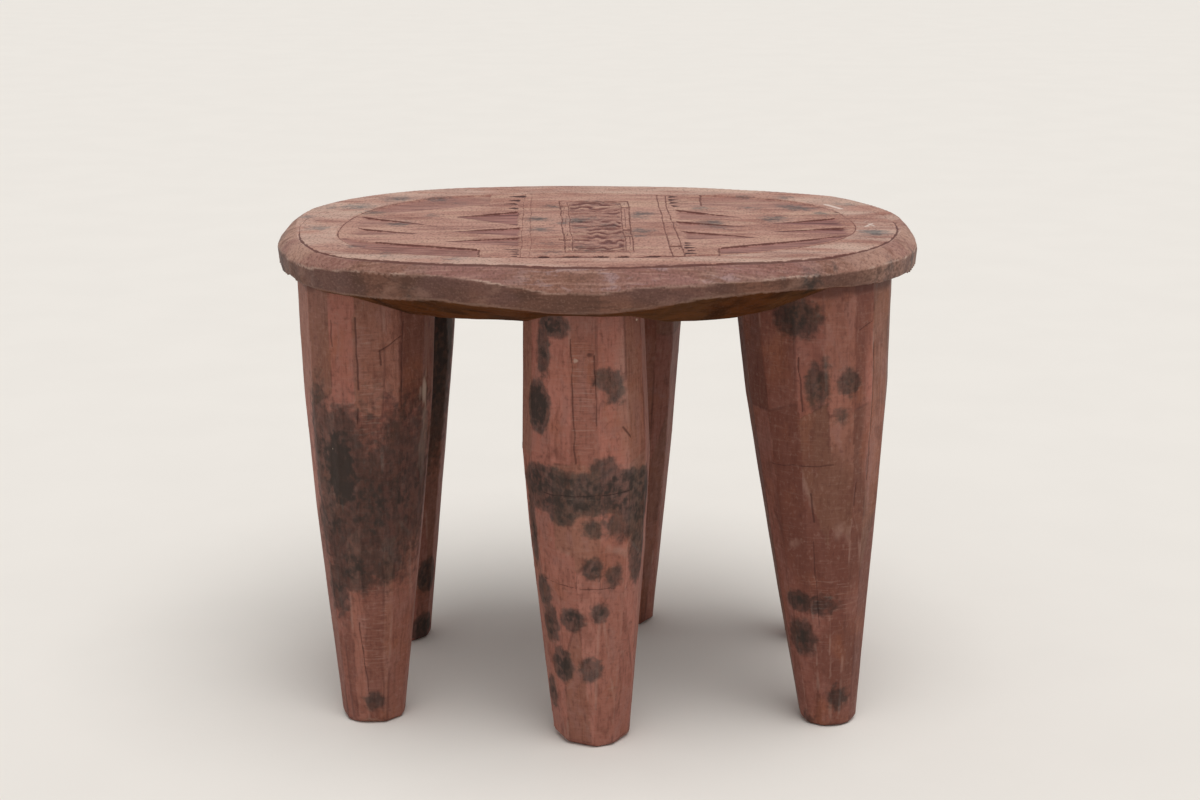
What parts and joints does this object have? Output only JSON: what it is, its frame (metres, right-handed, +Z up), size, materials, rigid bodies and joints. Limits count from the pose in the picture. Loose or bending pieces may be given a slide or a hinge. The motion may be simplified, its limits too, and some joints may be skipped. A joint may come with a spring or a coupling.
{
  "type": "stool",
  "caption": "Low carved wooden stool with a bevelled oval seat, a chip-carved top and chunky faceted legs that taper to small feet, for sitting or as a little table.",
  "frame": {"origin": "on the floor under the middle of the seat", "axes": "+X along the length of the oval seat, +Y towards the back edge, +Z up"},
  "size_m": [0.347, 0.262, 0.261],
  "materials": {
    "seat_wood": "red-brown stained hand-carved wood, dull, with dark scorch marks",
    "leg_wood": "red-brown stained hand-hewn wood, dull satin, with dark scorch marks"
  },
  "bodies": {
    "root": {"seat": "seat_wood", "leg_front_left": "leg_wood", "leg_front_middle": "leg_wood", "leg_front_right": "leg_wood", "leg_back_left": "leg_wood", "leg_back_middle": "leg_wood", "leg_back_right": "leg_wood"}
  },
  "joints": []
}
